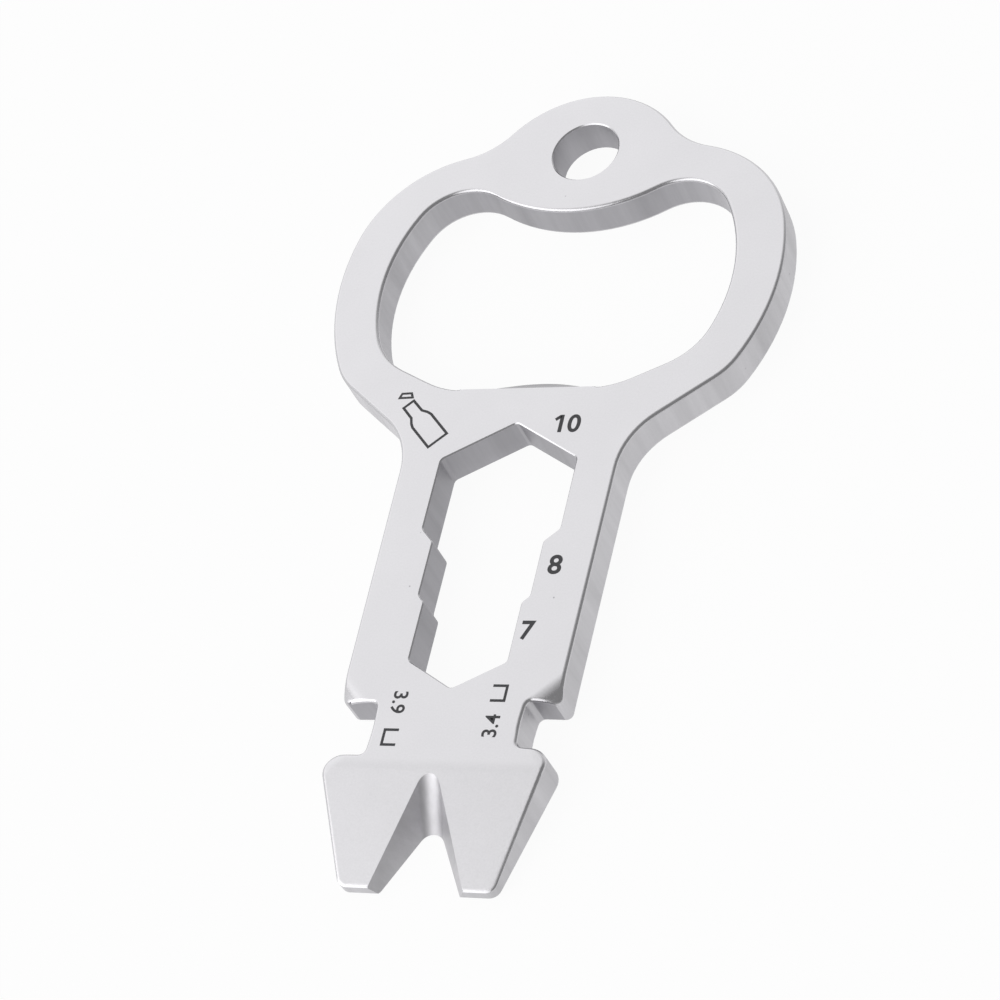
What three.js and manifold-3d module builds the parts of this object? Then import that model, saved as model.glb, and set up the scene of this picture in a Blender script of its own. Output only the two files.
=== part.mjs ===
// A keychain multi-tool cut from one stainless steel plate. From the key-ring end down it has a boss with
// the ring hole, a bottle opener ring, a shank with a stepped hexagon wrench slot, two spoke notches, and a
// nail claw whose front is ground to a thin tip.
import * as THREE from 'three';
import { mergeVertices } from 'three/addons/utils/BufferGeometryUtils.js';
import Module from 'manifold-3d';

const wasm = await Module();
wasm.setup();

// Driving dimensions: lengths in millimetres, angles in degrees. The tool lies on its back face at z = 0,
// with x across it, y along it towards the key ring, and the origin at the middle of its length and width.

// The plate and its three stretches along the axis, measured from the middle of the opener ring.
const plateThickness = 2.8;
const edgeRadius = 0.25;
const bossHeight = 15.95;
const shankLength = 34.2;
const clawReach = 12.85;

// The key-ring boss, with a hollow throat on each side where it runs into the shoulders of the ring.
const bossRadius = 7.85;
const throatRadius = 5.8;
const keyHoleDiameter = 5.0;
const keyHoleWall = 2.65;

// The opener ring, outside: round flanks, flatter shoulders above and hips that flare down to the shank.
const ringWidth = 33.7;
const shoulderRadius = 9.4;
const shoulderAngle = 13;
const hipRadius = 4.9;
const hipAngle = -27;
const flareAngle = 38.5;

// The opener ring, inside: a crown hangs into the opening between two lobes, and below them round flanks
// end in heels that slope down to a flat foot.
const ringBand = 3.58;
const openingDrop = 0.5;
const crownRadius = 12.2;
const crownHeight = 6;
const lobeRadius = 4;
const heelRadius = 5.2;
const footDrop = 9.27;
const footWidth = 12.3;
const footAngle = 26.5;
const footRadius = 7;

// The cap lifter: a round lip stands up from the foot at the back, and the front is hollow ground down to it.
const lipHeight = 1.9;
const lipThickness = 0.5;
const lipRadius = 7.5;
const lipRootRadius = 1.2;
const hollowGrindRadius = 5.5;

// The shank narrows slightly from the flare down to the notches.
const shankTopWidth = 16.1;
const shankEndWidth = 15.7;
const shankFilletRadius = 5.5;

// The wrench slot: three hexagons across flats, run into each other by sloped steps.
const largeHexagon = 10;
const middleHexagon = 8;
const smallHexagon = 7;
const hexagonClearance = 0.08;
const slotDrop = 18.45;
const slotUpperPitch = 5.8;
const slotLowerPitch = 5.1;
const slotStepAngle = 45;
const slotStepRise = 0.2;
const slotCornerRadius = 0.45;

// The spoke notches: a wide one on the left, a narrower one on the right that starts a little higher.
const wideNotchWidth = 3.9;
const wideNotchDepth = 2.8;
const wideNotchDrop = 0.3;
const narrowNotchWidth = 3.4;
const narrowNotchDepth = 2.25;
const notchFloorHollow = 0.15;
const notchRootRadius = 0.45;
const notchMouthRadius = 0.5;

// The claw: shoulders a little wider than the shank, straight sides, a single ground bevel on the front and a
// slanted nail slot.
const clawOverhang = 0.43;
const clawTipWidth = 10.95;
const clawShoulderRadius = 1.2;
const clawTipRadius = 0.8;
const tipThickness = 0.85;
const bevelLength = 7.95;
const bevelBlendRadius = 3.5;
const nailSlotDepth = 4.35;
const nailSlotAngle = 56;
const nailSlotRootRadius = 0.9;
const nailSlotSlant = 49;

// The corners beside the notches are ground soft on the front.
const groundCornerReach = 1.65;
const groundCornerRadius = 2.0;

// The small edge break round the wrench slot and the key hole.
const edgeBreak = 0.08;

// Facets: how far a chord may stray from its arc, how near to a line a place counts as on it, and how many
// facets turn a rounded edge, the bevel and a soft corner.
const chordError = 0.006;
const splitTolerance = 0.001;
const edgeFacets = 5;
const bevelFacets = 6;
const cornerFacets = 8;

// How far a cutting shape reaches past the faces that it cuts.
const overcut = 1;

const satinStainlessSteel = new THREE.MeshStandardMaterial({
  color: 0xe2e1e4,
  roughness: 0.36,
  metalness: 1,
});

// Places along the axis.
const topY = (bossHeight + shankLength + clawReach) / 2;
const ringY = topY - bossHeight;
const openingY = ringY - openingDrop;
const footY = openingY - footDrop;
const lipY = footY + lipHeight;
const notchY = ringY - shankLength;
const tipY = notchY - clawReach;
const bevelY = tipY + bevelLength;
const ringRadius = ringWidth / 2;
const openingRadius = ringRadius - ringBand;
const clawShoulderX = shankEndWidth / 2 + clawOverhang;

const radians = THREE.MathUtils.degToRad;

// Plane geometry

function point(x, y) {
  return new THREE.Vector2(x, y);
}

function polar(centre, radius, angle) {
  return point(centre.x + radius * Math.cos(angle), centre.y + radius * Math.sin(angle));
}

function bearing(from, to) {
  return Math.atan2(to.y - from.y, to.x - from.x);
}

// Points along an arc from one bearing to another.
function arc(centre, radius, from, to) {
  const largestStep = 2 * Math.acos(1 - chordError / radius);
  const steps = Math.max(2, Math.ceil(Math.abs(to - from) / largestStep));
  return Array.from({ length: steps + 1 }, (_, i) => polar(centre, radius, from + (to - from) * i / steps));
}

// The point at given distances from two centres, on the left of the line from the first to the second.
function meeting(first, firstDistance, second, secondDistance) {
  const span = first.distanceTo(second);
  const cosine = (firstDistance ** 2 + span ** 2 - secondDistance ** 2) / (2 * firstDistance * span);
  return polar(first, firstDistance, bearing(first, second) + Math.acos(cosine));
}

// The last point on a ray that lies at a given distance from a centre.
function reach(start, angle, centre, distance) {
  const offset = start.clone().sub(centre);
  const along = offset.dot(polar(point(0, 0), 1, angle));
  return polar(start, Math.sqrt(along ** 2 - offset.lengthSq() + distance ** 2) - along, angle);
}

// An outline through corners [x, y, radius]. A corner with a radius becomes an arc that touches both sides, and
// two arcs that would overrun the side between them are drawn smaller.
function rounded(corners) {
  const count = corners.length;
  const bends = corners.map(([x, y, radius = 0], i) => {
    const corner = point(x, y);
    const next = point(...corners[(i + 1) % count]);
    const back = bearing(corner, point(...corners[(i + count - 1) % count]));
    const turned = bearing(corner, next) - back;
    const opening = Math.atan2(Math.sin(turned), Math.cos(turned));
    const tangent = radius / Math.tan(Math.abs(opening) / 2);
    return { corner, radius, back, opening, tangent, side: corner.distanceTo(next) };
  });
  const sideRoom = (from, to) => from.side / (from.tangent + to.tangent);
  return bends.flatMap((bend, i) => {
    const { corner, back, opening } = bend;
    const before = bends[(i + count - 1) % count];
    const after = bends[(i + 1) % count];
    const radius = bend.radius * Math.min(1, sideRoom(before, bend), sideRoom(bend, after));
    if (bend.radius === 0) return [corner];
    const centre = polar(corner, radius / Math.sin(Math.abs(opening) / 2), back + opening / 2);
    const start = back - Math.sign(opening) * Math.PI / 2;
    return arc(centre, radius, start, start + opening - Math.sign(opening) * Math.PI);
  });
}

// A closed outline from a left and a right side, both given on the right, from the top of the axis to its
// foot. It runs anticlockwise, and a point that repeats the next one is left out.
function closedOutline(leftSide, rightSide) {
  const mirrored = leftSide.map((p) => point(-p.x, p.y));
  const all = [...mirrored, ...[...rightSide].reverse()];
  return all.filter((p, i) => p.distanceTo(all[(i + 1) % all.length]) > chordError);
}

// Solids

// A solid from a closed three.js geometry.
function solid(geometry) {
  geometry.deleteAttribute('normal');
  geometry.deleteAttribute('uv');
  const merged = mergeVertices(geometry);
  const vertProperties = new Float32Array(merged.attributes.position.array);
  const triVerts = new Uint32Array(merged.index.array);
  return new wasm.Manifold(new wasm.Mesh({ numProp: 3, vertProperties, triVerts }));
}

// An upright prism between two heights.
function prism(outline, low, high) {
  const shape = new THREE.Shape(outline);
  const geometry = new THREE.ExtrudeGeometry(shape, { depth: high - low, bevelEnabled: false });
  return geometry.translate(0, 0, low);
}

// A prism that leans along y by a slope per unit of height, and has its outline on the back face.
function leaningPrism(outline, slope) {
  const lean = new THREE.Matrix4().makeShear(0, 0, 0, 0, 0, slope);
  return prism(outline, -overcut, plateThickness + overcut).applyMatrix4(lean);
}

// A hole through the plate with a small edge break on both faces.
function brokenHole(outline) {
  const bevel = { bevelThickness: edgeBreak, bevelSize: edgeBreak, bevelSegments: 1 };
  const flare = () => new THREE.ExtrudeGeometry(new THREE.Shape(outline), { depth: overcut, ...bevel });
  return solid(prism(outline, -overcut, plateThickness + overcut))
    .add(solid(flare().translate(0, 0, plateThickness)))
    .add(solid(flare().translate(0, 0, -overcut)));
}

// The plate's outline

const wideNotch = { y: notchY - wideNotchDrop, width: wideNotchWidth, depth: wideNotchDepth };
const narrowNotch = { y: notchY, width: narrowNotchWidth, depth: narrowNotchDepth };

// One side of the outline, from the top of the boss to the middle of the claw tip.
function plateSide(notch) {
  const boss = point(0, topY - bossRadius);
  const ring = point(0, ringY);
  const shoulder = polar(ring, ringRadius - shoulderRadius, radians(shoulderAngle));
  const throat = meeting(boss, bossRadius + throatRadius, shoulder, shoulderRadius + throatRadius);
  const hip = polar(ring, ringRadius - hipRadius, radians(hipAngle));
  const flareTop = polar(hip, hipRadius, radians(flareAngle - 90));
  const shankX = shankTopWidth / 2;
  const flareFootY = flareTop.y - (flareTop.x - shankX) * Math.tan(radians(flareAngle));
  const mouthX = shankEndWidth / 2;
  const floorX = mouthX - notch.depth;
  const notchFootY = notch.y - notch.width;
  const floorRadius = notch.width ** 2 / (8 * notchFloorHollow);
  return [
    ...arc(boss, bossRadius, radians(90), bearing(boss, throat)),
    ...arc(throat, throatRadius, bearing(throat, boss), bearing(throat, shoulder)),
    ...arc(shoulder, shoulderRadius, bearing(shoulder, throat), radians(shoulderAngle)),
    ...arc(ring, ringRadius, radians(shoulderAngle), radians(hipAngle)),
    ...arc(hip, hipRadius, radians(hipAngle), radians(flareAngle - 90)),
    ...rounded([
      [flareTop.x, flareTop.y],
      [shankX, flareFootY, shankFilletRadius],
      [mouthX, notch.y, notchMouthRadius],
      [floorX, notch.y, notchRootRadius],
      [floorX - notchFloorHollow, notch.y - notch.width / 2, floorRadius],
      [floorX, notchFootY, notchRootRadius],
      [clawShoulderX, notchFootY, clawShoulderRadius],
      [clawTipWidth / 2, tipY, clawTipRadius],
      [0, tipY],
    ]),
  ];
}

// The arcs at the foot of the opening: the foot, whose slope runs up to the heel, the lip, and the valley
// between foot and lip.
function footArcs() {
  const slope = radians(footAngle);
  const footX = footWidth / 2;
  const foot = point(footX - footRadius * Math.tan(slope / 2), footY + footRadius);
  const slopeStart = polar(point(footX, footY), heelRadius, slope + radians(90));
  const heel = reach(slopeStart, slope, point(0, openingY), openingRadius - heelRadius);
  const lip = point(0, lipY - lipRadius);
  const valley = meeting(foot, footRadius - lipRootRadius, lip, lipRadius + lipRootRadius);
  return { heel, foot, lip, valley };
}

// One side of the opener's opening, from the middle of the crown to the middle of the lip.
function openingSide() {
  const middle = point(0, openingY);
  const crown = point(0, openingY + crownHeight + crownRadius);
  const lobe = meeting(crown, crownRadius + lobeRadius, middle, openingRadius - lobeRadius);
  const { heel, foot, lip, valley } = footArcs();
  const footNormal = radians(footAngle - 90);
  return [
    ...arc(crown, crownRadius, radians(-90), bearing(crown, lobe)),
    ...arc(lobe, lobeRadius, bearing(lobe, crown), bearing(middle, lobe)),
    ...arc(middle, openingRadius, bearing(middle, lobe), bearing(middle, heel)),
    ...arc(heel, heelRadius, bearing(middle, heel), footNormal),
    ...arc(foot, footRadius, footNormal, bearing(foot, valley)),
    ...arc(valley, lipRootRadius, bearing(foot, valley), bearing(valley, lip)),
    ...arc(lip, lipRadius, bearing(lip, valley), radians(90)),
  ];
}

// Grinding

// The part of a polygon on one side of a line. distance says how far a place lies beyond the line.
function clipped(polygon, distance, side) {
  return polygon.flatMap((here, i) => {
    const next = polygon[(i + 1) % polygon.length];
    const fromHere = side * distance(here);
    const fromNext = side * distance(next);
    const kept = fromHere >= 0 ? [here] : [];
    if (fromHere * fromNext < 0) kept.push(here.clone().lerp(next, fromHere / (fromHere - fromNext)));
    return kept;
  });
}

function fan(polygon) {
  return polygon.slice(2).map((corner, i) => [polygon[0], polygon[i + 1], corner]);
}

function splitAlong(triangles, distance) {
  return triangles.flatMap((triangle) => [1, -1].flatMap((side) => fan(clipped(triangle, distance, side))));
}

// Presses the front of the plate down along a grind, after splitting the facets along the lines where it bends.
// A grind runs out from a start along a bearing, over the places that it covers, and drop gives its depth.
function ground(triangles, { start, direction, bends, drop, covers }) {
  const run = (p) => (p.x - start.x) * Math.cos(direction) + (p.y - start.y) * Math.sin(direction);
  const beyond = (bend) => (p) => (Math.abs(run(p) - bend) < splitTolerance ? 0 : run(p) - bend);
  const pressed = (p) => (run(p) > 0 && covers(p)
    ? new THREE.Vector3(p.x, p.y, p.z * (1 - drop(run(p)) / plateThickness))
    : p);
  return bends.reduce((parts, bend) => splitAlong(parts, beyond(bend)), triangles)
    .map((triangle) => triangle.map(pressed));
}

// Where a face that turns on a radius bends: the runs from its start to its last bearing.
function arcRuns(radius, turn, facets) {
  return Array.from({ length: facets + 1 }, (_, i) => radius * Math.sin(turn * i / facets));
}

// The depth of a face that turns down on a radius.
function arcDrop(radius, run) {
  return radius - Math.sqrt(Math.max(0, radius ** 2 - run ** 2));
}

// The bevel of the claw turns down on a radius and runs straight to the tip.
function clawGrind() {
  const slope = Math.atan2(plateThickness - tipThickness, bevelLength);
  const blendReach = bevelBlendRadius * Math.tan(slope / 2);
  const blendRun = bevelBlendRadius * Math.sin(slope);
  return {
    start: point(0, bevelY + blendReach),
    direction: radians(-90),
    bends: arcRuns(bevelBlendRadius, slope, bevelFacets),
    drop: (run) => (run < blendRun ? arcDrop(bevelBlendRadius, run) : (run - blendReach) * Math.tan(slope)),
    covers: () => true,
  };
}

// A soft corner turns down on a radius towards its outermost point.
function cornerGrind(corner, direction, covers) {
  const turn = Math.asin(Math.min(1, groundCornerReach / groundCornerRadius));
  return {
    start: polar(corner, -groundCornerReach, direction),
    direction,
    bends: arcRuns(groundCornerRadius, turn, cornerFacets),
    drop: (run) => arcDrop(groundCornerRadius, run),
    covers,
  };
}

// Above and below each notch the shank and the claw have a soft corner.
function cornerGrinds() {
  return [[1, narrowNotch], [-1, wideNotch]].flatMap(([side, notch]) => {
    const clawY = notch.y - notch.width;
    const shankCorner = point(side * shankEndWidth / 2, notch.y);
    const clawCorner = point(side * clawShoulderX, clawY);
    return [
      cornerGrind(shankCorner, Math.atan2(-1, side), (p) => side * p.x > 0 && p.y >= notch.y),
      cornerGrind(clawCorner, Math.atan2(1, side), (p) => side * p.x > 0 && p.y <= clawY),
    ];
  });
}

function blankPlate() {
  const shape = new THREE.Shape(closedOutline(plateSide(wideNotch), plateSide(narrowNotch)));
  shape.holes.push(new THREE.Path(closedOutline(openingSide(), openingSide())));
  const geometry = new THREE.ExtrudeGeometry(shape, {
    depth: plateThickness - 2 * edgeRadius,
    bevelThickness: edgeRadius,
    bevelSize: edgeRadius,
    bevelOffset: -edgeRadius,
    bevelSegments: edgeFacets,
  });
  const places = geometry.translate(0, 0, edgeRadius).attributes.position;
  const corners = Array.from({ length: places.count }, (_, i) =>
    new THREE.Vector3().fromBufferAttribute(places, i));
  const triangles = Array.from({ length: corners.length / 3 }, (_, i) => corners.slice(3 * i, 3 * i + 3));
  const groundTriangles = [clawGrind(), ...cornerGrinds()].reduce(ground, triangles);
  const groundGeometry = new THREE.BufferGeometry().setFromPoints(groundTriangles.flat());
  return solid(groundGeometry).simplify(splitTolerance);
}

// Cuts

function keyHole() {
  const radius = keyHoleDiameter / 2;
  const centre = point(0, topY - keyHoleWall - radius);
  return brokenHole(arc(centre, radius, 0, radians(360)).slice(1));
}

// The three hexagons stand corner up, so that their side flats line the slot.
function wrenchSlot() {
  const halves = [largeHexagon, middleHexagon, smallHexagon].map((size) => (size + hexagonClearance) / 2);
  const slotY = ringY - slotDrop;
  const centres = [slotY, slotY - slotUpperPitch, slotY - slotUpperPitch - slotLowerPitch];
  const halfSide = halves.map((half) => half / Math.sqrt(3));
  const last = halves.length - 1;
  const flatTop = (i) => (i === 0
    ? centres[i] + halfSide[i]
    : flatFoot(i - 1) - (halves[i - 1] - halves[i]) * Math.tan(radians(slotStepAngle)));
  const flatFoot = (i) => centres[i] - halfSide[i] + (i === last ? 0 : slotStepRise);
  const right = halves.flatMap((half, i) => [
    [half, flatTop(i), slotCornerRadius],
    [half, flatFoot(i), slotCornerRadius],
  ]);
  const left = right.map(([x, y, radius]) => [-x, y, radius]).reverse();
  const top = [0, centres[0] + 2 * halfSide[0], slotCornerRadius];
  const foot = [0, centres[last] - 2 * halfSide[last], slotCornerRadius];
  return brokenHole(rounded([top, ...right, foot, ...left]));
}

// The hollow grind runs across the lip, from the foot on the front face down to the lip's edge at the back.
function capLifterRelief() {
  const { foot, valley } = footArcs();
  const halfWidth = polar(foot, footRadius, bearing(foot, valley)).x;
  const front = point(footY, plateThickness);
  const edge = point(lipY, lipThickness);
  const wheel = meeting(front, hollowGrindRadius, edge, hollowGrindRadius);
  const profile = [
    ...arc(wheel, hollowGrindRadius, bearing(wheel, front), bearing(wheel, edge)),
    point(openingY, lipThickness),
    point(openingY, plateThickness + overcut),
    point(footY, plateThickness + overcut),
  ];
  const along = new THREE.Vector3(0, 1, 0);
  const up = new THREE.Vector3(0, 0, 1);
  const placing = new THREE.Matrix4().makeBasis(along, up, along.clone().cross(up));
  return solid(prism(profile, -halfWidth, halfWidth).applyMatrix4(placing));
}

function nailSlot() {
  const halfAngle = radians(nailSlotAngle / 2);
  const lean = Math.tan(radians(nailSlotSlant));
  const vertexY = tipY + nailSlotDepth + nailSlotRootRadius * (1 / Math.sin(halfAngle) - 1);
  const mouthY = tipY - (plateThickness + 2 * overcut) * lean;
  const mouthX = (vertexY - mouthY) * Math.tan(halfAngle);
  const outline = rounded([[0, vertexY, nailSlotRootRadius], [mouthX, mouthY], [-mouthX, mouthY]]);
  return solid(leaningPrism(outline, lean));
}

// The finished plate

const cuts = [keyHole(), wrenchSlot(), capLifterRelief(), nailSlot()];
const finished = cuts.reduce((plate, cut) => plate.subtract(cut), blankPlate()).getMesh();

const geometry = new THREE.BufferGeometry();
geometry.setAttribute('position', new THREE.BufferAttribute(finished.vertProperties, 3));
geometry.setIndex(new THREE.BufferAttribute(finished.triVerts, 1));
geometry.computeVertexNormals();

const toolPlate = new THREE.Mesh(geometry, satinStainlessSteel);
toolPlate.name = 'tool_plate';

const keychainTool = new THREE.Group();
keychainTool.add(toolPlate);

export default keychainTool;
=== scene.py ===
# %% [markdown]
# # A keychain multi-tool in satin stainless steel
#
# The real tool is one flat plate, cut from sheet and tumbled until its edges are soft. It has no other pieces, so the
# whole picture rests on four things: the shape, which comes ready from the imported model, the finish of the steel,
# the size marks on its face, and light that suits bare metal. This lesson makes them one after another.

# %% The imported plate
import math

import bpy
from mathutils import Matrix, Vector


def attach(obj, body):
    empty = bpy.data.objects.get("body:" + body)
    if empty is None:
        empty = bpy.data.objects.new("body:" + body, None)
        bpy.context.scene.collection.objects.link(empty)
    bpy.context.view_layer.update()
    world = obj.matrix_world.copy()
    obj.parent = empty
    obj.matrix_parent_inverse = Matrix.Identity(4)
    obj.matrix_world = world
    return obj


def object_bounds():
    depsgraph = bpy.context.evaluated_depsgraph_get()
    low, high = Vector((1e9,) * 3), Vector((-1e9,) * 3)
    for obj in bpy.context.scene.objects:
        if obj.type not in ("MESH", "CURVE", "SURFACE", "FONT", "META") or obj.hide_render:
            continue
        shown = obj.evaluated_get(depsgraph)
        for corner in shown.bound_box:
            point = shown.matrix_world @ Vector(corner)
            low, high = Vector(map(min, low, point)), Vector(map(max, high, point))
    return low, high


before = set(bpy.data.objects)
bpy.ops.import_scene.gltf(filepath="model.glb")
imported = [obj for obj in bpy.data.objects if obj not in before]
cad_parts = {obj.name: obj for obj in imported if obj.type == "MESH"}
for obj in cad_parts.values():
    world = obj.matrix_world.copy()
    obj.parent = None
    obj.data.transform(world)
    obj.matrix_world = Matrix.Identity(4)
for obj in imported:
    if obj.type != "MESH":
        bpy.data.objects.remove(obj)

MM = 0.001  # the scene is in metres, the tool is measured in millimetres
cad_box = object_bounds()
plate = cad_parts["tool_plate"]
face_height = cad_box[1].z
print("plate:", len(plate.data.polygons), "faces,",
      [round(side / MM, 2) for side in cad_box[1] - cad_box[0]], "mm")

# %% [markdown]
# ## Two helpers
#
# Colours are written the way a paint program shows them, as sRGB hex, and Blender's sockets want linear light, so one
# function turns the first into the second. Materials here are built from nodes in code. One small function adds a
# node, changes its settings and fills its inputs: an input that is given a socket gets a link, and anything else
# becomes the input's own value.

# %% Colours and nodes
def linear(hex_colour):
    """sRGB hex, such as "E3E2E5", as linear red, green, blue and alpha."""
    channels = [int(hex_colour[i:i + 2], 16) / 255 for i in (0, 2, 4)]
    return [c / 12.92 if c <= 0.04045 else ((c + 0.055) / 1.055) ** 2.4 for c in channels] + [1.0]


def add(tree, kind, inputs=None, **settings):
    """Adds a node of that kind to a tree. inputs maps a socket's name or number to a value or to a socket."""
    node = tree.nodes.new(kind)
    for name, value in settings.items():
        setattr(node, name, value)
    for name, value in (inputs or {}).items():
        if isinstance(value, bpy.types.NodeSocket):
            tree.links.new(value, node.inputs[name])
        else:
            node.inputs[name].default_value = value
    return node


print("steel white as linear light:", [round(c, 3) for c in linear("E3E2E5")])

# %% [markdown]
# ## Smooth edges, flat faces
#
# Tumbling in a drum of stones rounds every edge of such a tool by about a quarter of a millimetre. The imported mesh
# has those rounds as narrow facets and each triangle on its own. Its vertices must stay as they are, so the smoothing
# is done by modifiers. A small geometry-nodes tree joins the triangles, and keeps only the edges that turn by more
# than 24 degrees as sharp ones. So Decimate first makes each flat one whole face, without changing its shape, and
# Weighted Normal comes last: it lets the large faces win, and they stay flat up to the rounded edge.
#
# The same tree measures something for the material. Every face sends a ray straight out, and the distance to what it
# hits is kept as an attribute: the open room in front of that wall. The material paints shade with it, darker on
# walls with little room in front of them.

# %% Smooth shading by modifiers
weld_distance = 0.001 * MM
open_room = 60 * MM
sharpest_smooth_turn = math.radians(24)
flattest_turn = math.radians(0.05)

smoothing = bpy.data.node_groups.new("tumbled_edges", "GeometryNodeTree")
smoothing.interface.new_socket("Geometry", in_out="INPUT", socket_type="NodeSocketGeometry")
smoothing.interface.new_socket("Geometry", in_out="OUTPUT", socket_type="NodeSocketGeometry")
incoming = add(smoothing, "NodeGroupInput")
joined = add(smoothing, "GeometryNodeMergeByDistance",
             {"Geometry": incoming.outputs["Geometry"], "Distance": weld_distance})
turn = add(smoothing, "GeometryNodeInputMeshEdgeAngle")
is_sharp = add(smoothing, "FunctionNodeCompare",
               {0: turn.outputs["Unsigned Angle"], 1: sharpest_smooth_turn}, operation="GREATER_THAN")
shaded = add(smoothing, "GeometryNodeSetMeshNormal",
             {"Mesh": joined.outputs["Geometry"], "Remove Custom": True,
              "Edge Sharpness": is_sharp.outputs["Result"], "Face Sharpness": False}, mode="SHARPNESS")
position = add(smoothing, "GeometryNodeInputPosition")
outward = add(smoothing, "GeometryNodeInputNormal")
start = add(smoothing, "ShaderNodeVectorMath",
            {0: outward.outputs[0], 1: (weld_distance,) * 3, 2: position.outputs[0]}, operation="MULTIPLY_ADD")
# the distance found here sets the painted shade on the walls of narrow openings
across = add(smoothing, "GeometryNodeRaycast",
             {"Target Geometry": joined.outputs["Geometry"], "Source Position": start.outputs[0],
              "Ray Direction": outward.outputs[0], "Ray Length": open_room})
room = add(smoothing, "GeometryNodeSwitch",
           {"Switch": across.outputs["Is Hit"], "False": open_room, "True": across.outputs["Hit Distance"]},
           input_type="FLOAT")
noted = add(smoothing, "GeometryNodeStoreNamedAttribute",
            {"Geometry": shaded.outputs["Mesh"], "Name": "open_room_in_front", "Value": room.outputs[0]},
            data_type="FLOAT", domain="FACE")
add(smoothing, "NodeGroupOutput", {"Geometry": noted.outputs["Geometry"]})

plate.modifiers.new("tumbled edges", "NODES").node_group = smoothing
flats = plate.modifiers.new("whole flats", "DECIMATE")
flats.decimate_type = "DISSOLVE"
flats.angle_limit = flattest_turn
weighting = plate.modifiers.new("flat faces win", "WEIGHTED_NORMAL")
weighting.keep_sharp = True
joined_mesh = plate.evaluated_get(bpy.context.evaluated_depsgraph_get()).data
print("joined plate:", len(joined_mesh.vertices), "vertices instead of", len(plate.data.vertices))

# %% [markdown]
# ## Satin stainless steel
#
# The blank is rolled stainless sheet. Tumbling leaves a fine, even grain without a direction on the faces, so they
# reflect like frosted metal: bright, pale and soft. The cut walls keep some of the roughness of the cut, with fine
# streaks through the thickness, and look a tone darker. The rounded edges rub against everything and are the most
# polished part. One material can hold all three when it knows which way the surface faces, and the Z of the normal
# tells that: near 1 on a face, near 0 on a wall, and between the two on a rounded edge. Image textures could do it
# too, but a pattern worked out from real sizes stays sharp at any zoom.

# %% Which way the steel faces
steel = bpy.data.materials.new("tumbled_stainless_steel")
steel.use_nodes = True
tree = steel.node_tree
tree.nodes.clear()

surest_wall, least_wall = 0.10, 0.26
least_flat, surest_flat = 0.88, 0.965

place = add(tree, "ShaderNodeTexCoord")
facing = add(tree, "ShaderNodeSeparateXYZ", {"Vector": place.outputs["Normal"]})
upright = add(tree, "ShaderNodeMath", {0: facing.outputs["Z"]}, operation="ABSOLUTE")
upright_wall = add(tree, "ShaderNodeMapRange",
                   {"Value": upright.outputs[0], "From Min": surest_wall, "From Max": least_wall,
                    "To Min": 1.0, "To Max": 0.0}, interpolation_type="SMOOTHSTEP")
flat = add(tree, "ShaderNodeMapRange",
           {"Value": upright.outputs[0], "From Min": least_flat, "From Max": surest_flat,
            "To Min": 0.0, "To Max": 1.0}, interpolation_type="SMOOTHSTEP")
print("steel: a wall below", least_wall, "and a flat face above", least_flat)

# %% [markdown]
# Two places need more than that. The walls of the nail slot lean, so they are told by where they are, between the
# prongs of the claw. The hollow above the cap lifter's lip was ground by a wheel, and it is painted darker as shade
# falling into it: it is what faces up in the ring's half of the plate but lies below the front face.

# %% The leaning slot and the lifter's hollow
slot_half_width, slot_top = 3.4 * MM, -23.0 * MM
hollow_floor, hollow_rim = 2.35 * MM, 2.75 * MM
ring_foot = 3.0 * MM
least_upward = 0.2

on_plate = add(tree, "ShaderNodeSeparateXYZ", {"Vector": place.outputs["Object"]})
from_middle = add(tree, "ShaderNodeMath", {0: on_plate.outputs["X"]}, operation="ABSOLUTE")
between_prongs = add(tree, "ShaderNodeMath", {0: from_middle.outputs[0], 1: slot_half_width},
                     operation="LESS_THAN")
in_claw = add(tree, "ShaderNodeMath", {0: on_plate.outputs["Y"], 1: slot_top}, operation="LESS_THAN")
not_flat = add(tree, "ShaderNodeMath", {0: 1.0, 1: flat.outputs[0]}, operation="SUBTRACT")
in_slot = add(tree, "ShaderNodeMath", {0: between_prongs.outputs[0], 1: in_claw.outputs[0]},
              operation="MULTIPLY")
leaning_wall = add(tree, "ShaderNodeMath", {0: in_slot.outputs[0], 1: not_flat.outputs[0]},
                   operation="MULTIPLY")
wall = add(tree, "ShaderNodeMath", {0: upright_wall.outputs[0], 1: leaning_wall.outputs[0]},
           operation="MAXIMUM")

below_face = add(tree, "ShaderNodeMapRange",
                 {"Value": on_plate.outputs["Z"], "From Min": hollow_floor, "From Max": hollow_rim,
                  "To Min": 1.0, "To Max": 0.0})
in_ring = add(tree, "ShaderNodeMath", {0: on_plate.outputs["Y"], 1: ring_foot}, operation="GREATER_THAN")
faces_up = add(tree, "ShaderNodeMath", {0: facing.outputs["Z"], 1: least_upward}, operation="GREATER_THAN")
low_in_ring = add(tree, "ShaderNodeMath", {0: below_face.outputs[0], 1: in_ring.outputs[0]},
                  operation="MULTIPLY")
# the mask of the hollow where shade is painted
hollow = add(tree, "ShaderNodeMath", {0: low_in_ring.outputs[0], 1: faces_up.outputs[0]},
             operation="MULTIPLY")
print("steel: slot", 2 * slot_half_width / MM, "mm wide at most, hollow below", hollow_rim / MM, "mm")

# %% [markdown]
# The patterns. The tumbled grain is about a tenth of a millimetre, which is one and a half pixels of the picture, so
# it is drawn at 0.14 mm. Slow clouds of a few millimetres stand for uneven rubbing. A few pits of a fifth of a
# millimetre are left from the rolled sheet. The streaks of the cut are 0.1 mm apart in the real wall and are drawn
# 0.22 mm apart to show: their noise hardly changes through the plate's thickness. Bands of 3 mm lie over them, where
# the cut went faster or slower.

# %% Grain, clouds, pits, streaks and bands
grain_size = 0.14 * MM
cloud_size = 5.0 * MM
pit_spacing = 2.4 * MM
pit_radius = 0.09 * MM
streak_size = 0.22 * MM
streak_stretch = 0.06
band_size = 3.0 * MM

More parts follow.
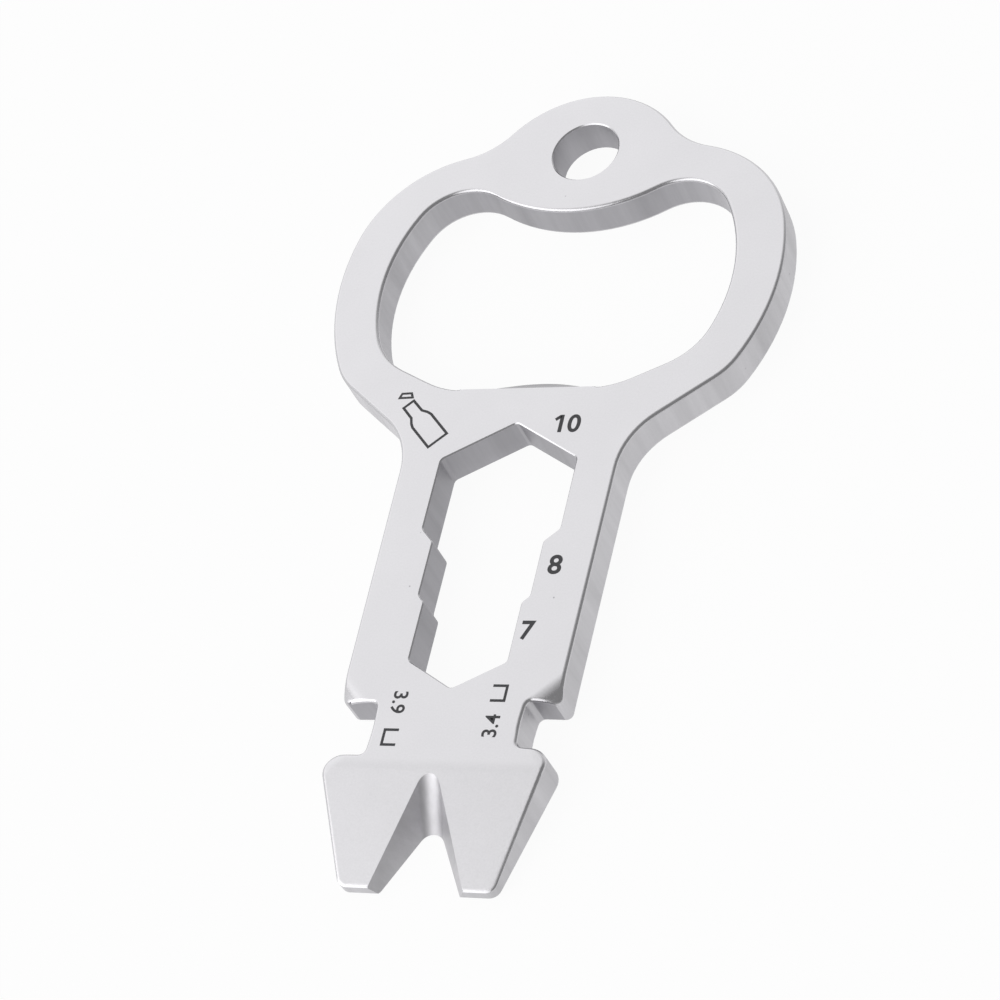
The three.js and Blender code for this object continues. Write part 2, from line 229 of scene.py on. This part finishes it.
grain = add(tree, "ShaderNodeTexNoise",
            {"Vector": place.outputs["Object"], "Scale": 1 / grain_size, "Detail": 2.0, "Roughness": 0.6})
clouds = add(tree, "ShaderNodeTexNoise",
             {"Vector": place.outputs["Object"], "Scale": 1 / cloud_size, "Detail": 3.0, "Roughness": 0.55})
cells = add(tree, "ShaderNodeTexVoronoi",
            {"Vector": place.outputs["Object"], "Scale": 1 / pit_spacing, "Randomness": 1.0})
pits = add(tree, "ShaderNodeMapRange",
           {"Value": cells.outputs["Distance"], "From Min": 0.5 * pit_radius / pit_spacing,
            "From Max": pit_radius / pit_spacing, "To Min": 1.0, "To Max": 0.0})
squeezed = add(tree, "ShaderNodeVectorMath",
               {0: place.outputs["Object"], 1: (1.0, 1.0, streak_stretch)}, operation="MULTIPLY")
streaks = add(tree, "ShaderNodeTexNoise",
              {"Vector": squeezed.outputs[0], "Scale": 1 / streak_size, "Detail": 2.0, "Roughness": 0.5})
bands = add(tree, "ShaderNodeTexNoise",
            {"Vector": squeezed.outputs[0], "Scale": 1 / band_size, "Detail": 5.0, "Roughness": 0.7})
print("patterns in mm: grain", grain_size / MM, "clouds", cloud_size / MM, "streaks", streak_size / MM)

# %% [markdown]
# Colour. Stainless steel is a slightly cool, pale grey metal. The faces are the palest. The cut walls are darker,
# partly dulled by the cut and partly painted shade, and painted darker still in narrow openings, where little room
# in front of a wall stands for more shade. The rounded edges get a darker colour than the faces, a painted dark
# reflection along each edge, and the hollow above the lifter's lip gets painted shade. Each pattern shifts these
# values by a few per cent only, because a satin surface looks even from an arm's length and shows its grain up close.

# %% Colour of the steel
face_colour, pit_colour = linear("EBEAED"), linear("B4B3B6")
# edge colour: a painted dark reflection along the rounded edges; hollow colour: painted shade in the lifter's hollow
edge_painted_dark_reflection_colour, hollow_painted_shade_colour = linear("C9C8CB"), linear("949397")
# wall colours: darker than the faces, partly the duller cut and partly painted shade; the narrow-wall colour is
# painted shade for walls with little room in front of them
narrow_wall_painted_shade_colour, open_wall_colour = linear("AEADB1"), linear("CFCED1")
narrow_room, wide_room = 12 * MM, 45 * MM

room_attribute = add(tree, "ShaderNodeAttribute", attribute_type="GEOMETRY", attribute_name="open_room_in_front")
painted_shade_by_room = add(tree, "ShaderNodeMapRange",
             {"Value": room_attribute.outputs["Fac"], "From Min": narrow_room, "From Max": wide_room})
wall_colour_and_shade = add(tree, "ShaderNodeMix",
                  {0: painted_shade_by_room.outputs[0], 6: narrow_wall_painted_shade_colour, 7: open_wall_colour}, data_type="RGBA")
band_tint = add(tree, "ShaderNodeMapRange",
                {"Value": bands.outputs["Fac"], "From Min": 0.3, "From Max": 0.7, "To Min": 0.85, "To Max": 1.08})
banded = add(tree, "ShaderNodeVectorMath", {0: wall_colour_and_shade.outputs[2], "Scale": band_tint.outputs[0]},
             operation="SCALE")
# the rounded edges, between wall and face, take the painted dark reflection colour
face_with_painted_edge_reflection = add(tree, "ShaderNodeMix", {0: flat.outputs[0], 6: edge_painted_dark_reflection_colour, 7: face_colour}, data_type="RGBA")
# painted shade in the lifter's hollow
with_hollow_shade = add(tree, "ShaderNodeMix", {0: hollow.outputs[0], 6: face_with_painted_edge_reflection.outputs[2], 7: hollow_painted_shade_colour},
               data_type="RGBA")
by_side = add(tree, "ShaderNodeMix", {0: wall.outputs[0], 6: with_hollow_shade.outputs[2], 7: banded.outputs[0]},
              data_type="RGBA")
tint = add(tree, "ShaderNodeMapRange",
           {"Value": grain.outputs["Fac"], "From Min": 0.25, "From Max": 0.75, "To Min": 0.965, "To Max": 1.02})
cloud_tint = add(tree, "ShaderNodeMapRange",
                 {"Value": clouds.outputs["Fac"], "From Min": 0.3, "From Max": 0.7, "To Min": 0.985, "To Max": 1.01})
both_tints = add(tree, "ShaderNodeMath", {0: tint.outputs[0], 1: cloud_tint.outputs[0]}, operation="MULTIPLY")
grained = add(tree, "ShaderNodeVectorMath", {0: by_side.outputs[2], "Scale": both_tints.outputs[0]},
              operation="SCALE")
pitted = add(tree, "ShaderNodeMix", {0: pits.outputs[0], 6: grained.outputs[0], 7: pit_colour}, data_type="RGBA")
# the walls are painted darker, as shade, the less room there is in front of them
print("steel: walls dull below", narrow_room / MM, "mm of room, pale above", wide_room / MM, "mm")

# %% [markdown]
# Roughness and bump. A rubbed edge is the smoothest, a tumbled face is satin and a cut wall is the roughest. The grain
# and the streaks are a few thousandths of a millimetre deep, so bump is enough for them: nothing of it shows in the
# outline. Metallic is 1, as for any bare metal, and the IOR stays at its default.

# %% Roughness and bump of the steel
face_roughness, edge_roughness, wall_roughness = 0.34, 0.24, 0.52
roughness_swing = 0.04
grain_height, streak_height = 0.0035 * MM, 0.006 * MM

edge_to_face = add(tree, "ShaderNodeMapRange",
                   {"Value": flat.outputs[0], "To Min": edge_roughness, "To Max": face_roughness})
to_wall = add(tree, "ShaderNodeMix", {0: wall.outputs[0], 2: edge_to_face.outputs[0], 3: wall_roughness})
roughness_grain = add(tree, "ShaderNodeMapRange",
                      {"Value": grain.outputs["Fac"], "From Min": 0.25, "From Max": 0.75,
                       "To Min": -roughness_swing, "To Max": roughness_swing})
rough = add(tree, "ShaderNodeMath", {0: to_wall.outputs[0], 1: roughness_grain.outputs[0]}, operation="ADD")

streaks_on_wall = add(tree, "ShaderNodeMath", {0: streaks.outputs["Fac"], 1: wall.outputs[0]},
                      operation="MULTIPLY")
grain_bump = add(tree, "ShaderNodeBump", {"Height": grain.outputs["Fac"], "Distance": grain_height, "Strength": 1.0})
bump = add(tree, "ShaderNodeBump", {"Height": streaks_on_wall.outputs[0], "Distance": streak_height,
                                    "Strength": 1.0, "Normal": grain_bump.outputs["Normal"]})
shader = add(tree, "ShaderNodeBsdfPrincipled",
             {"Base Color": pitted.outputs[2], "Metallic": 1.0, "Roughness": rough.outputs[0],
              "Normal": bump.outputs["Normal"]})
add(tree, "ShaderNodeOutputMaterial", {"Surface": shader.outputs[0]})
plate.material_slots[0].material = steel
print("steel:", len(tree.nodes), "nodes on", plate.name)

# %% [markdown]
# ## Laser marks
#
# The sizes on such a tool are burnt into the face with a laser, which leaves dark, matt oxide and takes nothing away.
# The beam draws in close parallel lines, 0.05 mm apart. They are drawn 0.12 mm apart here, as the real ones are finer
# than a pixel. A mark could be painted by the steel's own nodes, but letters are far easier as text objects: they
# lie on the face as films of a few thousandths of a millimetre.

# %% Laser-burnt oxide
oxide = bpy.data.materials.new("laser_burnt_oxide")
oxide.use_nodes = True
tree = oxide.node_tree
tree.nodes.clear()
beam_pitch, burn_size = 0.12 * MM, 0.3 * MM
darkest_oxide, palest_oxide = linear("343437"), linear("59595C")

place = add(tree, "ShaderNodeTexCoord")
beam = add(tree, "ShaderNodeTexWave",
           {"Vector": place.outputs["Object"], "Scale": math.tau / (20 * beam_pitch), "Distortion": 0.4},
           bands_direction="DIAGONAL")
burn = add(tree, "ShaderNodeTexNoise", {"Vector": place.outputs["Object"], "Scale": 1 / burn_size, "Detail": 2.0})
shade = add(tree, "ShaderNodeMath", {0: beam.outputs["Fac"], 1: burn.outputs["Fac"]}, operation="MULTIPLY")
colour = add(tree, "ShaderNodeMix", {0: shade.outputs[0], 6: darkest_oxide, 7: palest_oxide}, data_type="RGBA")
shader = add(tree, "ShaderNodeBsdfPrincipled",
             {"Base Color": colour.outputs[2], "Metallic": 0.0, "Roughness": 0.62})
add(tree, "ShaderNodeOutputMaterial", {"Surface": shader.outputs[0]})
print("oxide: beam lines", beam_pitch / MM, "mm apart")

# %% [markdown]
# The numbers by the wrench slot name its three hexagons in millimetres, and those by the notches the width of each
# notch. They are set in Blender's own font, thickened a little. A text object's size is that of its line, so each
# number is measured first and then scaled to the height and centred on the spot where it belongs. The font draws its 1
# as a bare stroke, so the next step gives it a small flag.

# %% Size numbers
film = 0.008 * MM


def number_mark(name, text, centre, height, boldness, turn_degrees=0.0):
    """A number burnt into the front face: centre and height in millimetres, turned about the plate's normal."""
    letters = bpy.data.curves.new(name, "FONT")
    letters.body = text
    letters.offset = boldness
    mark = bpy.data.objects.new(name, letters)
    bpy.context.scene.collection.objects.link(mark)
    bpy.context.view_layer.update()
    low, high = Vector(mark.bound_box[0]), Vector(mark.bound_box[6])
    scale = height * MM / (high.y - low.y)
    middle = (low + high) / 2
    letters.extrude = film / 2 / scale
    spot = Vector((centre[0] * MM, centre[1] * MM, face_height + film / 2))
    turned = Matrix.Rotation(math.radians(turn_degrees), 4, "Z")
    sized = Matrix.Diagonal((scale, scale, scale, 1.0))
    mark.matrix_world = Matrix.Translation(spot) @ turned @ sized @ Matrix.Translation((-middle.x, -middle.y, 0))
    letters.materials.append(oxide)
    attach(mark, "root")
    return mark


bold, light = 0.022, 0.014
numbers = [
    number_mark("mark_hexagon_10", "10", (3.93, 2.77), 1.45, bold),
    number_mark("mark_hexagon_8", "8", (5.33, -8.45), 1.5, bold),
    number_mark("mark_hexagon_7", "7", (4.48, -13.48), 1.45, bold),
    number_mark("mark_notch_wide", "3.9", (-3.42, -19.0), 1.05, light, turn_degrees=-90),
    number_mark("mark_notch_narrow", "3.4", (3.52, -20.6), 1.05, light, turn_degrees=90),
]
print("numbers:", [mark.data.body for mark in numbers])

# %% [markdown]
# Outline symbols: a bottle by the opener, with its cap flying off, a small open square by each notch, and the flag of
# the 1. Each is a closed or open path with a constant line width. A flat curve with an outer and an inner edge is
# filled between the two, so a function walks along the path and sets off both edges by half the line width.

# %% Outline symbols
def ribbon_edges(path, width, closed):
    """Both edges of a line of that width along a path, mitred at its corners."""
    count = len(path)
    left, right = [], []
    for i, here in enumerate(path):
        before = path[i - 1] if closed or i else None
        after = path[(i + 1) % count] if closed or i < count - 1 else None
        pairs = ((before, here), (here, after))
        sides = [(b - a).normalized() for a, b in pairs if a is not None and b is not None]
        normals = [Vector((-s.y, s.x)) for s in sides]
        mitre = sum(normals, Vector((0, 0))).normalized()
        step = mitre * (width / 2 / max(0.5, mitre.dot(normals[0])))
        left.append(here + step)
        right.append(here - step)
    return [left, right] if closed else [left + right[::-1]]


def outline_mark(name, paths, centre, turn_degrees, width):
    """A symbol of thin burnt lines: paths of (points, closed) in millimetres about its centre."""
    lines = bpy.data.curves.new(name, "CURVE")
    lines.dimensions = "2D"
    lines.fill_mode = "BOTH"
    lines.extrude = film / 2
    for points, closed in paths:
        for edge in ribbon_edges([Vector(p) for p in points], width, closed):
            spline = lines.splines.new("POLY")
            spline.points.add(len(edge) - 1)
            spline.use_cyclic_u = True
            for corner, (x, y) in zip(spline.points, edge):
                corner.co = (x * MM, y * MM, 0, 1)
    mark = bpy.data.objects.new(name, lines)
    bpy.context.scene.collection.objects.link(mark)
    spot = Vector((centre[0] * MM, centre[1] * MM, face_height + film / 2))
    mark.matrix_world = Matrix.Translation(spot) @ Matrix.Rotation(math.radians(turn_degrees), 4, "Z")
    lines.materials.append(oxide)
    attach(mark, "root")
    return mark


bottle_side = [(0.80, -2.12), (0.80, 0.17), (0.70, 0.52), (0.46, 0.94), (0.44, 2.12)]
bottle = bottle_side + [(-x, y) for x, y in reversed(bottle_side)]
cap = [(-0.50, -0.18), (-0.36, 0.18), (0.36, 0.18), (0.50, -0.18)]
notch_sign = [(-0.55, 0.5), (-0.55, -0.5), (0.55, -0.5), (0.55, 0.5)]
flag_of_one = [(0.0, 0.0), (-0.36, -0.30)]
symbols = [
    outline_mark("mark_bottle", [(bottle, True)], (-7.16, 3.10), 44, 0.19),
    outline_mark("mark_bottle_cap", [(cap, True)], (-8.98, 5.37), 2, 0.17),
    outline_mark("mark_hexagon_10_flag", [(flag_of_one, False)], (3.18, 3.38), 0, 0.24),
    outline_mark("mark_wide_notch_sign", [(notch_sign, False)], (-3.42, -21.6), -90, 0.19),
    outline_mark("mark_narrow_notch_sign", [(notch_sign, False)], (3.52, -18.2), 90, 0.19),
]
print("symbols:", [mark.name for mark in symbols])

# %% [markdown]
# ## White floor
#
# The tool lies on a white sweep. A white diffuse floor under soft light comes out a little grey and uneven. Here the
# rays that look at it, from the camera or by way of the metal, see it partly as an even white of strength 1. The rest
# stays diffuse, which keeps the tool's soft shadow. All other rays meet plain diffuse white.

# %% Floor
even_share = 0.94

white = bpy.data.materials.new("matt_white_card")
white.use_nodes = True
tree = white.node_tree
tree.nodes.clear()
path = add(tree, "ShaderNodeLightPath")
looks = add(tree, "ShaderNodeMath", {0: path.outputs["Is Camera Ray"], 1: path.outputs["Is Glossy Ray"]},
            operation="MAXIMUM")
seen = add(tree, "ShaderNodeMath", {0: looks.outputs[0], 1: path.outputs["Is Transmission Ray"]},
           operation="MAXIMUM")
share = add(tree, "ShaderNodeMath", {0: seen.outputs[0], 1: even_share}, operation="MULTIPLY")
card = add(tree, "ShaderNodeBsdfDiffuse", {"Color": linear("F4F4F4")})
even = add(tree, "ShaderNodeEmission", {"Color": linear("FFFFFF"), "Strength": 1.0})
mixed = add(tree, "ShaderNodeMixShader", {0: share.outputs[0], 1: card.outputs[0], 2: even.outputs[0]})
add(tree, "ShaderNodeOutputMaterial", {"Surface": mixed.outputs[0]})

floor_reach, floor_gap = 1.5, 0.02 * MM
floor_mesh = bpy.data.meshes.new("floor")
corners = [(x * floor_reach, y * floor_reach, -floor_gap) for x, y in ((-1, -1), (1, -1), (1, 1), (-1, 1))]
floor_mesh.from_pydata(corners, [], [(0, 1, 2, 3)])
floor_mesh.materials.append(white)
floor = bpy.data.objects.new("floor", floor_mesh)
bpy.context.scene.collection.objects.link(floor)
print("floor:", 2 * floor_reach, "m square")

# %% [markdown]
# ## Studio light
#
# Bare metal shows what stands around it, so its light is a surrounding more than a lamp. A photographer puts a wide
# white cloth behind and to the left of the tool, where the face mirrors it towards the camera, and leaves the other
# side of the room darker: that gives a pale face, darker lines along the rounded edges, and walls with shape.
# The world does this with a smooth fall of brightness away from the cloth. One large soft lamp at the front left adds
# to it. A smaller, stronger lamp would do the same for the floor, but it would show as white sparks on the edges.

# %% World and lamp
dark_direction = Vector((0.70, -0.30, 0.50)).normalized()
dark_side, cloth_side = 0.32, 0.99
cloth_ends, dark_begins = -0.12, 0.68  # cosines of the angle to dark_direction

world = bpy.data.worlds.new("white_cloth_room")
world.use_nodes = True
bpy.context.scene.world = world
tree = world.node_tree
tree.nodes.clear()
looking = add(tree, "ShaderNodeTexCoord")
towards = add(tree, "ShaderNodeVectorMath", {0: looking.outputs["Generated"], 1: dark_direction},
              operation="DOT_PRODUCT")
fall = add(tree, "ShaderNodeMapRange",
           {"Value": towards.outputs["Value"], "From Min": cloth_ends, "From Max": dark_begins,
            "To Min": cloth_side, "To Max": dark_side}, interpolation_type="SMOOTHSTEP")
studio = add(tree, "ShaderNodeBackground", {"Color": linear("FFFFFF"), "Strength": fall.outputs[0]})
add(tree, "ShaderNodeOutputWorld", {"Surface": studio.outputs[0]})

lamp_width, lamp_watts, lamp_distance = 1.3, 5.0, 0.9
lamp_data = bpy.data.lights.new("soft_lamp", "AREA")
lamp_data.shape = "DISK"
lamp_data.size = lamp_width
lamp_data.energy = lamp_watts
lamp = bpy.data.objects.new("soft_lamp", lamp_data)
lamp.location = Vector((-0.55, -0.70, 0.45)) * lamp_distance
lamp.rotation_euler = (-lamp.location).to_track_quat("-Z", "Y").to_euler()
bpy.context.scene.collection.objects.link(lamp)
print("studio: brightness from", dark_side, "to", cloth_side, "and a lamp of", lamp_watts, "W")

# %% [markdown]
# ## Camera
#
# The camera looks down on the tool from the front right, with a long lens, as product pictures of small things are
# taken. Its place and turn are written as the three directions right, up and back, which are the columns of its
# matrix.

# %% Camera
camera_data = bpy.data.cameras.new("camera")
camera_data.lens = 117.27
camera_data.sensor_width = 36.0
camera_data.sensor_fit = "HORIZONTAL"
camera_data.clip_start = 0.01
camera = bpy.data.objects.new("camera", camera_data)
right = Vector((0.9137, 0.2118, -0.3468))
up = Vector((0.0088, 0.8429, 0.5380))
back = Vector((0.4063, -0.4946, 0.7683))
camera_place = Vector((89.237, -111.791, 171.231)) * MM
camera.matrix_world = Matrix.Translation(camera_place) @ Matrix((right, up, back)).transposed().to_4x4()
bpy.context.scene.collection.objects.link(camera)
bpy.context.scene.camera = camera
bpy.context.scene.view_settings.view_transform = "Standard"
print("camera:", round(camera_place.length / MM), "mm from the plate's middle")

# %% [markdown]
# ## Last update
#
# Last, the view layer is brought up to date.

# %% Bring the view layer up to date
bpy.context.view_layer.update()
